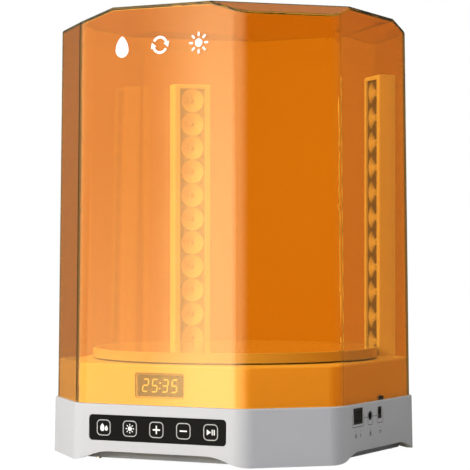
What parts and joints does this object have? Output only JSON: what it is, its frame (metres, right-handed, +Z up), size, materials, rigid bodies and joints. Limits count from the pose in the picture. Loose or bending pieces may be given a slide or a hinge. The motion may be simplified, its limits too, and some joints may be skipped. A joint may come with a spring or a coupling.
{
  "type": "resin wash station",
  "caption": "Octagonal wash-and-cure station for resin prints: touch-panel base, lift-off amber cover, spinning turntable and two curing lamp columns.",
  "frame": {"origin": "centre of the footprint, on the table under the rubber feet", "axes": "+Z up, -Y towards the front with the control panel and display, +X towards the side with the power switch and sockets"},
  "size_m": [0.3172, 0.3172, 0.43],
  "materials": {
    "amber_acrylic": "clear amber, glossy",
    "grey_housing": "silver-grey, satin",
    "white_housing": "white, satin",
    "dark_plastic": "dark, matte",
    "black_glass": "gloss black",
    "smoke_window": "smoke tint, gloss",
    "rubber": "matte",
    "circuit_board": "green solder mask",
    "white_board": "white solder mask",
    "steel": "zinc plated",
    "magnet": "nickel plated",
    "aluminium": "plain",
    "mirror": "reflecting sheet",
    "turntable_grey": "light grey, satin",
    "reflector": "bright metallised",
    "led": "clear dome",
    "copper_lead": "red and black insulation",
    "brass": "plain"
  },
  "bodies": {
    "base": {"base_housing": "grey_housing", "bottom_pan": "dark_plastic", "rubber_feet": "rubber", "bottom_screws": "steel", "deck": "white_housing", "control_panel": "black_glass", "touch_sensors": "brass", "touch_board": "circuit_board", "touch_board_screws": "steel", "display_window": "smoke_window", "display_module": "dark_plastic", "display_board": "circuit_board", "display_screws": "steel", "switch_housing": "dark_plastic", "switch_terminals": "brass", "lamp_socket": "dark_plastic", "lamp_socket_pin": "brass", "lamp_socket_nut": "steel", "power_inlet": "dark_plastic", "power_inlet_pin": "brass", "lid_sensor": "dark_plastic", "main_board": "circuit_board", "board_screws": "steel", "board_connectors": "white_housing", "board_capacitors": "black_glass", "board_heat_sink": "aluminium", "board_chips": "dark_plastic", "buzzer": "dark_plastic", "motor": "steel", "motor_bracket": "steel", "motor_screws": "steel", "internal_leads": "copper_lead", "left_column_housing": "white_housing", "left_column_back": "white_housing", "left_column_screws": "steel", "left_reflector_strip": "reflector", "left_lamp_board": "white_board", "left_lamp_leds": "led", "right_column_housing": "white_housing", "right_column_back": "white_housing", "right_column_screws": "steel", "right_reflector_strip": "reflector", "right_lamp_board": "white_board", "right_lamp_leds": "led", "column_base_screws": "steel"},
    "cover": {"cover": "amber_acrylic", "cover_magnet_tag": "dark_plastic"},
    "drive": {"motor_shaft": "steel", "magnet_rotor": "dark_plastic", "rotor_magnets": "magnet"},
    "table_seat": {"turntable_seat": "dark_plastic", "bearing_retainer": "steel", "bearing_inner_race": "steel"},
    "turntable": {"turntable": "turntable_grey", "turntable_mirror": "mirror", "turntable_magnets": "magnet", "bearing_outer_race": "steel", "bearing_balls": "magnet", "bearing_cage": "brass"},
    "rocker": {"power_rocker": "dark_plastic"}
  },
  "joints": [
    {"name": "cover_lift", "type": "slide", "parent": "base", "child": "cover", "axis": [0, 0, 1], "range_m": [0, 0.36]},
    {"name": "table_lift", "type": "slide", "parent": "base", "child": "table_seat", "axis": [0, 0, 1], "range_m": [0, 0.29]},
    {"name": "table_spin", "type": "hinge", "parent": "table_seat", "child": "turntable", "pos_m": [0, 0, 0.0978], "axis": [0, 0, 1], "continuous": true},
    {"name": "drive_spin", "type": "hinge", "parent": "base", "child": "drive", "pos_m": [0, 0, 0.07], "axis": [0, 0, 1], "continuous": true},
    {"name": "rocker_tilt", "type": "hinge", "parent": "base", "child": "rocker", "pos_m": [0.1536, -0.052, 0.0437], "axis": [0, 0, 1], "range_deg": [0, 16]}
  ],
  "couplings": [
    {"joint": "drive_spin", "follows": "table_spin", "ratio": 1}
  ]
}
